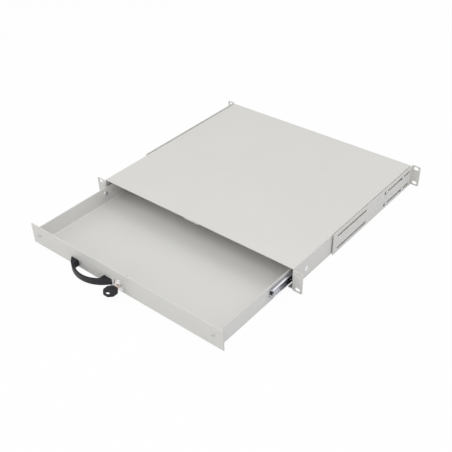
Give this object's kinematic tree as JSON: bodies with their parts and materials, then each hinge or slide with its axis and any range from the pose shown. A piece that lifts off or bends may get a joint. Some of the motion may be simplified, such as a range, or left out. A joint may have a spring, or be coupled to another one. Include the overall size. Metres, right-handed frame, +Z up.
{
  "type": "sliding rack drawer",
  "caption": "Low sheet metal rack drawer pulled forward out of its case, with bow handle, cam lock with key, ball slides, slotted front ears and adjustable rear brackets.",
  "frame": {"origin": "centre of the four front rack slots, on the back face of the front ears", "axes": "+X to the right seen from the front, +Y back into the rack along the drawer's travel, +Z up"},
  "size_m": [0.4826, 0.617, 0.0436],
  "materials": {
    "case_paint": "light grey fine powder coat",
    "tray_paint": "light grey fine powder coat",
    "panel_paint": "light grey fine powder coat",
    "slide_zinc": "bright zinc plate",
    "rivet_steel": "zinc plate",
    "screw_zinc": "bright zinc plate",
    "screw_paint": "light grey paint",
    "spacer_nylon": "moulded nylon",
    "buffer_rubber": "moulded rubber",
    "cage_steel": "plain strip",
    "ball_steel": "polished",
    "black_plastic": "fine moulded grain",
    "lock_chrome": "polished",
    "lock_brass": "satin",
    "key_steel": "nickel plate"
  },
  "bodies": {
    "case": {"case_shell": "case_paint", "lock_keeper": "case_paint", "fixed_rail_left": "slide_zinc", "fixed_rail_right": "slide_zinc", "rail_rivets_left": "rivet_steel", "rail_rivets_right": "rivet_steel", "bracket_nuts_left": "screw_zinc", "bracket_nuts_right": "screw_zinc", "bracket_spacers_left": "spacer_nylon", "bracket_spacers_right": "spacer_nylon", "bracket_screws_left": "screw_zinc", "bracket_screws_right": "screw_zinc"},
    "bracket_left": {"rear_bracket_left": "case_paint"},
    "bracket_right": {"rear_bracket_right": "case_paint"},
    "drawer": {"tray": "tray_paint", "front_panel": "panel_paint", "panel_screws": "screw_paint", "panel_nuts": "screw_zinc", "handle": "black_plastic", "handle_screws": "screw_zinc", "lock_body": "lock_chrome", "lock_washer": "screw_zinc", "lock_nut": "screw_zinc", "drawer_channel_left": "slide_zinc", "drawer_channel_right": "slide_zinc", "channel_rivets_left": "rivet_steel", "channel_rivets_right": "rivet_steel", "channel_buffer_left": "buffer_rubber", "channel_buffer_right": "buffer_rubber", "buffer_pin_left": "rivet_steel", "buffer_pin_right": "rivet_steel"},
    "cage_left": {"ball_cage_left": "cage_steel", "slide_balls_left": "ball_steel"},
    "cage_right": {"ball_cage_right": "cage_steel", "slide_balls_right": "ball_steel"},
    "lock": {"lock_plug": "lock_brass", "lock_cam": "slide_zinc", "cam_washer": "screw_zinc", "cam_screw": "screw_zinc"},
    "key": {"key_blade": "key_steel", "key_head": "black_plastic"}
  },
  "joints": [
    {"name": "drawer_slide", "type": "slide", "parent": "case", "child": "drawer", "axis": [0, -1, 0], "range_m": [-0.176, 0.12]},
    {"name": "cage_left_roll", "type": "slide", "parent": "case", "child": "cage_left", "axis": [0, -1, 0], "range_m": [-0.088, 0.06]},
    {"name": "cage_right_roll", "type": "slide", "parent": "case", "child": "cage_right", "axis": [0, -1, 0], "range_m": [-0.088, 0.06]},
    {"name": "bracket_left_slide", "type": "slide", "parent": "case", "child": "bracket_left", "axis": [0, 1, 0], "range_m": [-0.025, 0.0055]},
    {"name": "bracket_right_slide", "type": "slide", "parent": "case", "child": "bracket_right", "axis": [0, 1, 0], "range_m": [-0.025, 0.0055]},
    {"name": "lock_turn", "type": "hinge", "parent": "drawer", "child": "lock", "pos_m": [0, -0.18, -0.0055], "axis": [0, -1, 0], "range_deg": [0, 90]},
    {"name": "key_pull", "type": "slide", "parent": "lock", "child": "key", "axis": [0, -1, 0], "range_m": [0, 0.025]}
  ],
  "couplings": [
    {"joint": "cage_left_roll", "follows": "drawer_slide", "ratio": 0.5},
    {"joint": "cage_right_roll", "follows": "drawer_slide", "ratio": 0.5}
  ]
}
